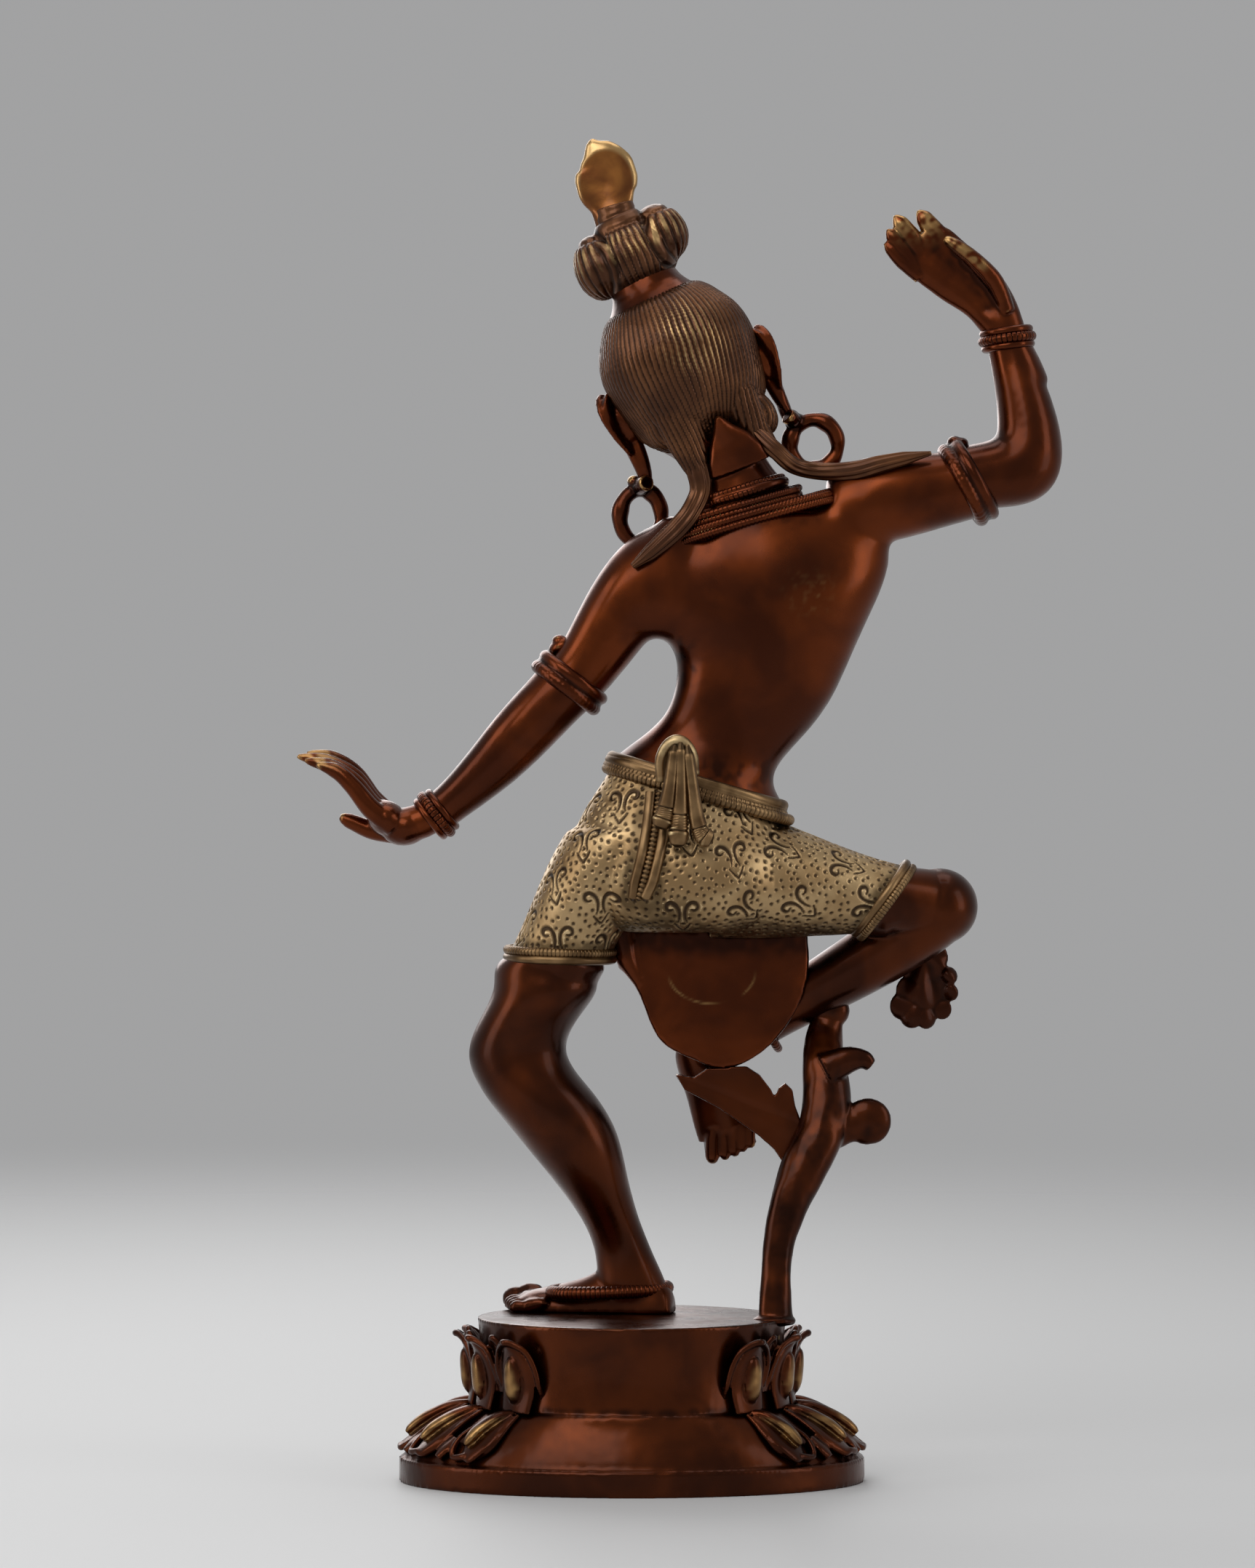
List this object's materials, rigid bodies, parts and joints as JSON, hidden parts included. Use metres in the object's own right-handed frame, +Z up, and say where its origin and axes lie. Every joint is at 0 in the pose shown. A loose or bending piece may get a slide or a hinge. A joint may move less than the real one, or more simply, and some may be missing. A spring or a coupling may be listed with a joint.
{
  "type": "brass nataraja statue",
  "caption": "Cast brass dancing figure on an oval lotus pedestal, one arm raised, one leg lifted against a small tree, seen with topknot and flame finial.",
  "frame": {"origin": "centre of the pedestal's flat underside", "axes": "+Z up through the figure, -Y the way the figure faces, +X to the figure's left"},
  "size_m": [0.1927, 0.0838, 0.3359],
  "materials": {
    "brown_patina": "glossy dark reddish-brown patina over brass, rubbed to gold on the edges",
    "polished_brass": "antique polished brass with dark-filled engraving",
    "plain_brass": "plain unpolished brass",
    "steel": "plain steel fastener"
  },
  "bodies": {
    "root": {"anklet": "brown_patina", "apron": "brown_patina", "base_plate": "plain_brass", "belt": "polished_brass", "centre_pleat": "polished_brass", "dowel_pins": "plain_brass", "finial": "polished_brass", "foot_nuts": "steel", "foot_studs": "steel", "foot_washers": "steel", "hair_band": "brown_patina", "hair_cap": "brown_patina", "head": "brown_patina", "left_armlet": "brown_patina", "left_bracelet": "brown_patina", "left_earring": "brown_patina", "left_forearm": "brown_patina", "left_hair_lock": "brown_patina", "left_hand": "brown_patina", "lower_petals": "brown_patina", "necklaces": "brown_patina", "pedestal": "brown_patina", "raised_anklet": "brown_patina", "raised_hem": "polished_brass", "raised_leg": "brown_patina", "right_armlet": "brown_patina", "right_bracelet": "brown_patina", "right_earring": "brown_patina", "right_forearm": "brown_patina", "right_hair_lock": "brown_patina", "right_hand": "brown_patina", "sash_end": "brown_patina", "sash_tassel": "polished_brass", "shorts": "polished_brass", "standing_hem": "polished_brass", "standing_leg": "brown_patina", "topknot": "brown_patina", "torso": "brown_patina", "tree": "brown_patina", "tree_leaf": "brown_patina", "tree_rivet": "plain_brass", "upper_petals": "brown_patina"}
  },
  "joints": []
}
